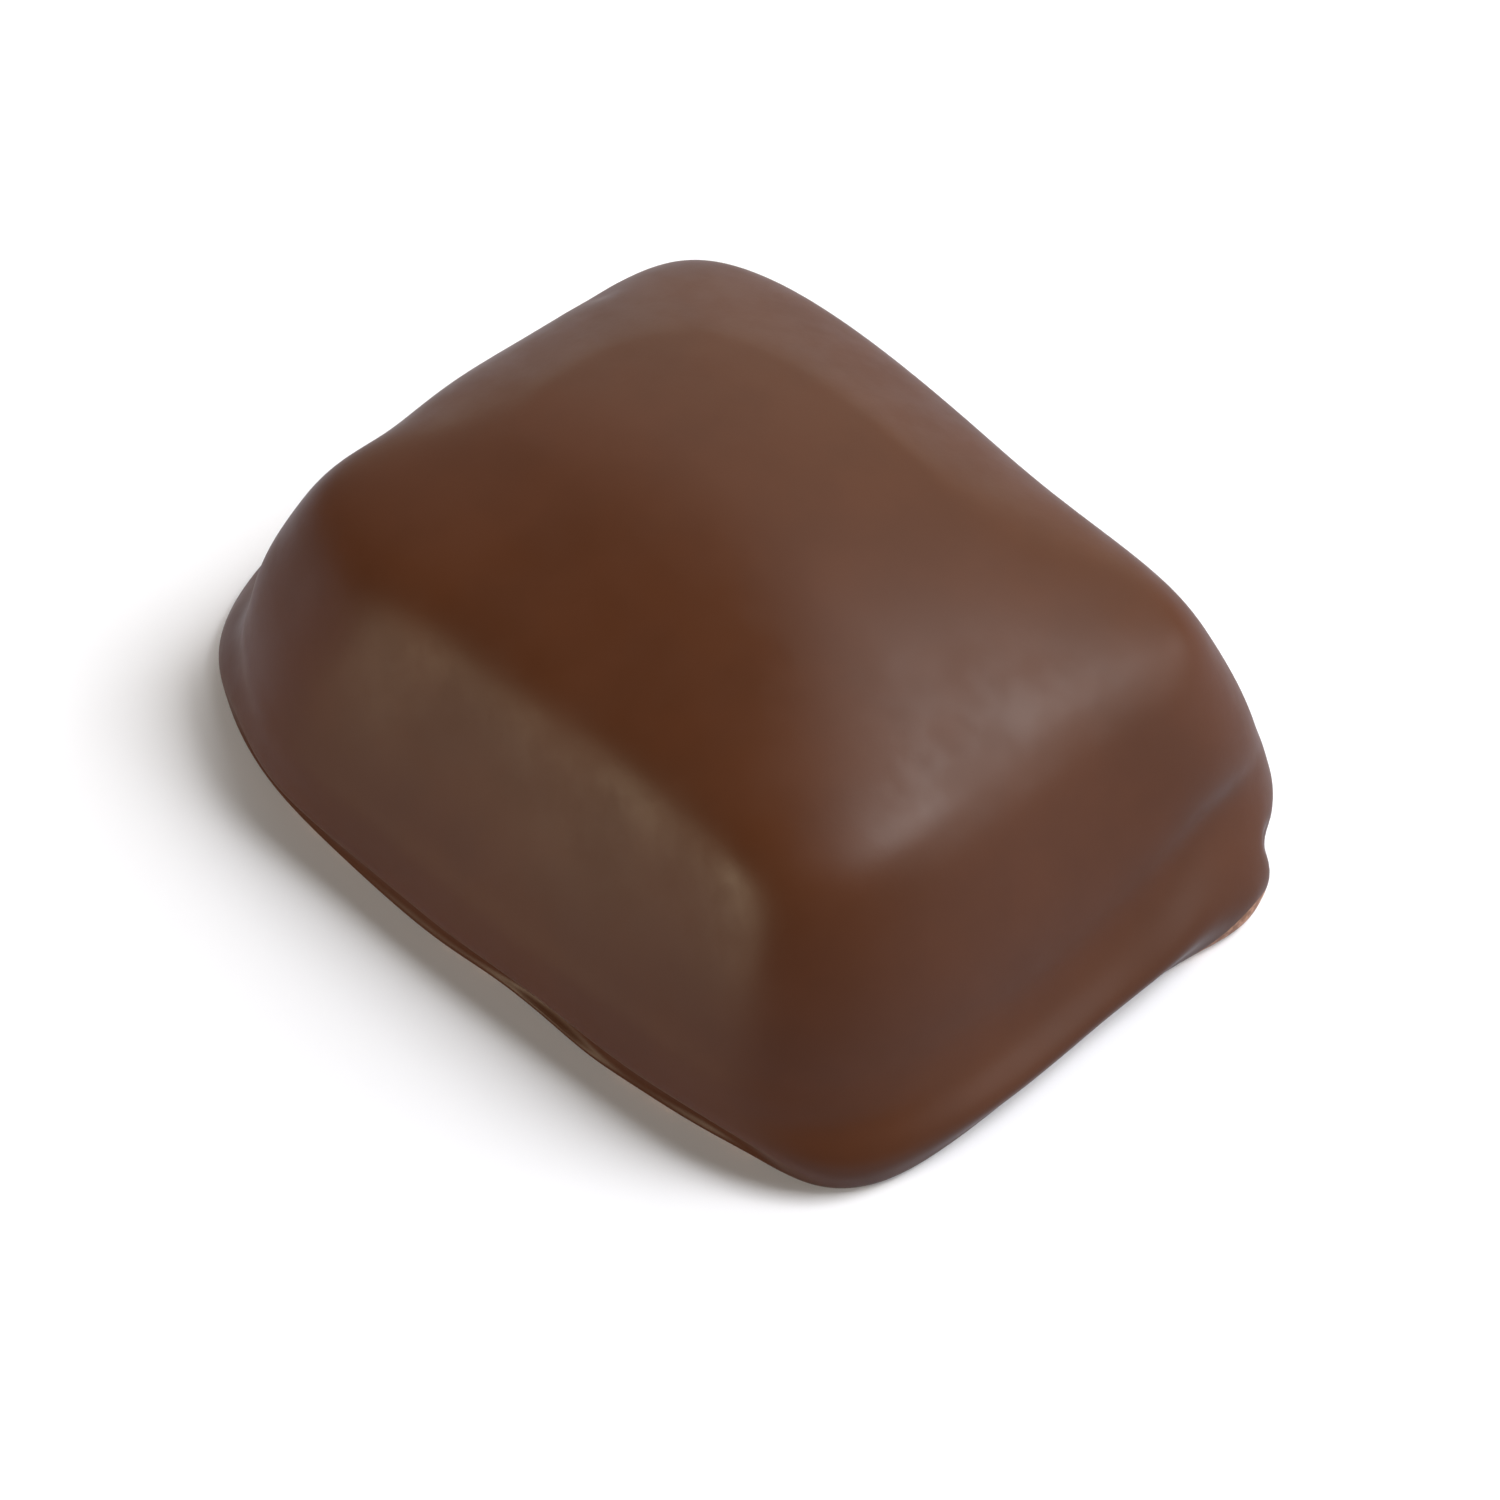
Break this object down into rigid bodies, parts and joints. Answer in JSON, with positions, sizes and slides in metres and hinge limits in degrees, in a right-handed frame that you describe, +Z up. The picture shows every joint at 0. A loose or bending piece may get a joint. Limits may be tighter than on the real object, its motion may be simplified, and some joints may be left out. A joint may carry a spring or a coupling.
{
  "type": "chocolate-covered brittle",
  "caption": "Soft domed block of brittle under a satin milk chocolate coating, with sloping sides, an uneven foot and a flat underside.",
  "frame": {"origin": "centre of the flat underside's box, on the surface it rests on", "axes": "+X along the long way, +Y along the short way, +Z up"},
  "size_m": [0.0364, 0.029, 0.0141],
  "materials": {
    "chocolate": "satin milk chocolate coating"
  },
  "bodies": {
    "root": {"brittle_piece": "chocolate"}
  },
  "joints": []
}
